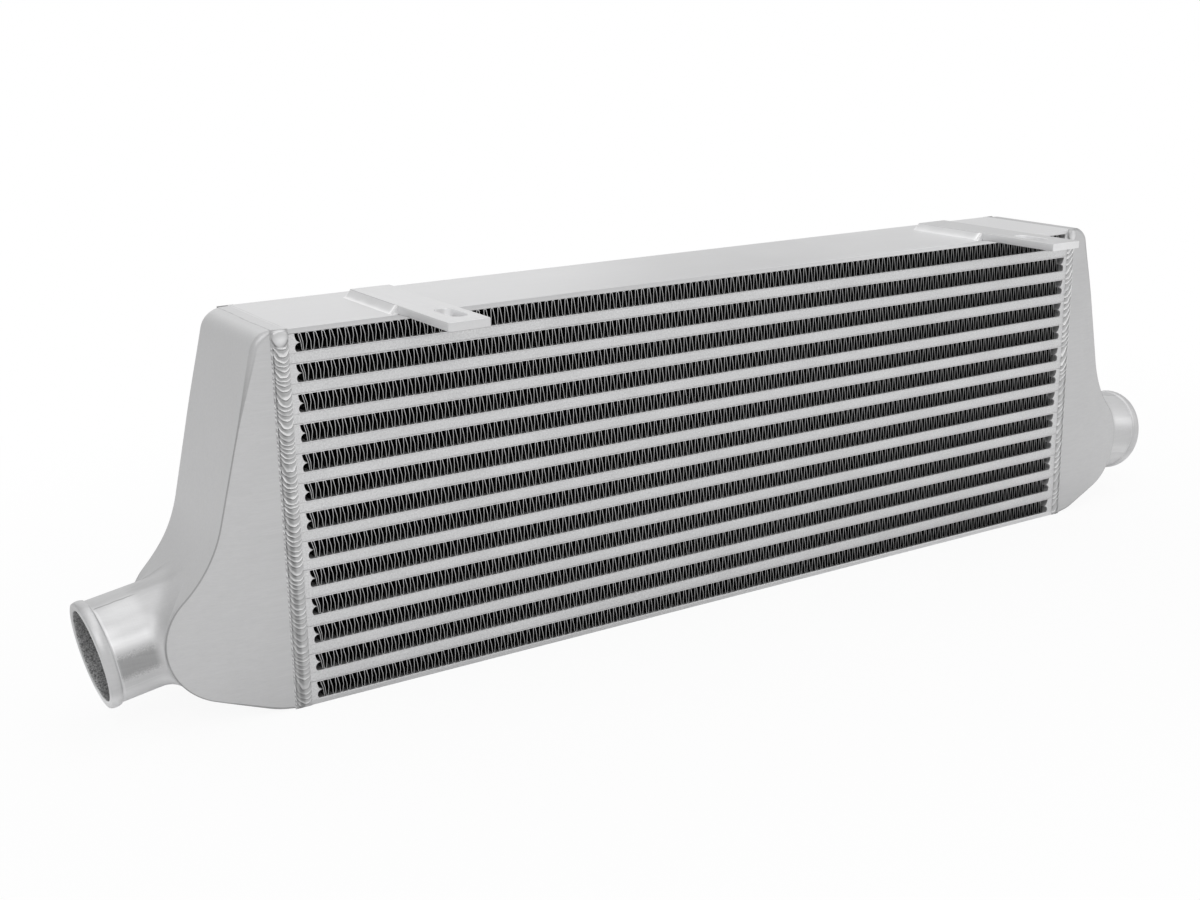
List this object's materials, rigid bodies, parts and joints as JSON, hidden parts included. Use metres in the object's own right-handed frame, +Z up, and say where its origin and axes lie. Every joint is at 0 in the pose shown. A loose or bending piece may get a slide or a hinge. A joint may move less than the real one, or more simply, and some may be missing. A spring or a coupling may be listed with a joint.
{
  "type": "intercooler",
  "caption": "Front-mount bar-and-plate intercooler with folded air fins, cast end tanks with beaded hose stubs and two slotted top brackets.",
  "frame": {"origin": "centre of the core's bottom face", "axes": "+X along the core towards the right tank, -Y to the front where the brackets reach out, +Z up"},
  "size_m": [0.7528, 0.1357, 0.202],
  "materials": {
    "plate": "satin, milled",
    "bar": "satin, sawn",
    "sheet": "satin",
    "fin": "thin rolled sheet",
    "inner_fin": "thin rolled sheet",
    "tank": "satin, brushed cast",
    "weld": "bright, rippled",
    "bracket": "satin, milled"
  },
  "bodies": {
    "root": {"top_plate": "plate", "bottom_plate": "plate", "parting_sheets": "sheet", "air_fin_01": "fin", "air_fin_02": "fin", "air_fin_03": "fin", "air_fin_04": "fin", "air_fin_05": "fin", "air_fin_06": "fin", "air_fin_07": "fin", "air_fin_08": "fin", "air_fin_09": "fin", "air_fin_10": "fin", "air_fin_11": "fin", "air_fin_12": "fin", "air_fin_13": "fin", "long_bars_01": "bar", "long_bars_02": "bar", "long_bars_03": "bar", "long_bars_04": "bar", "long_bars_05": "bar", "long_bars_06": "bar", "long_bars_07": "bar", "long_bars_08": "bar", "long_bars_09": "bar", "long_bars_10": "bar", "long_bars_11": "bar", "long_bars_12": "bar", "turbulator_01": "inner_fin", "turbulator_02": "inner_fin", "turbulator_03": "inner_fin", "turbulator_04": "inner_fin", "turbulator_05": "inner_fin", "turbulator_06": "inner_fin", "turbulator_07": "inner_fin", "turbulator_08": "inner_fin", "turbulator_09": "inner_fin", "turbulator_10": "inner_fin", "turbulator_11": "inner_fin", "turbulator_12": "inner_fin", "end_bars_left": "bar", "end_bars_right": "bar", "left_tank": "tank", "right_tank": "tank", "left_tank_weld": "weld", "right_tank_weld": "weld", "left_bracket": "bracket", "right_bracket": "bracket", "left_bracket_weld": "weld", "right_bracket_weld": "weld"}
  },
  "joints": []
}
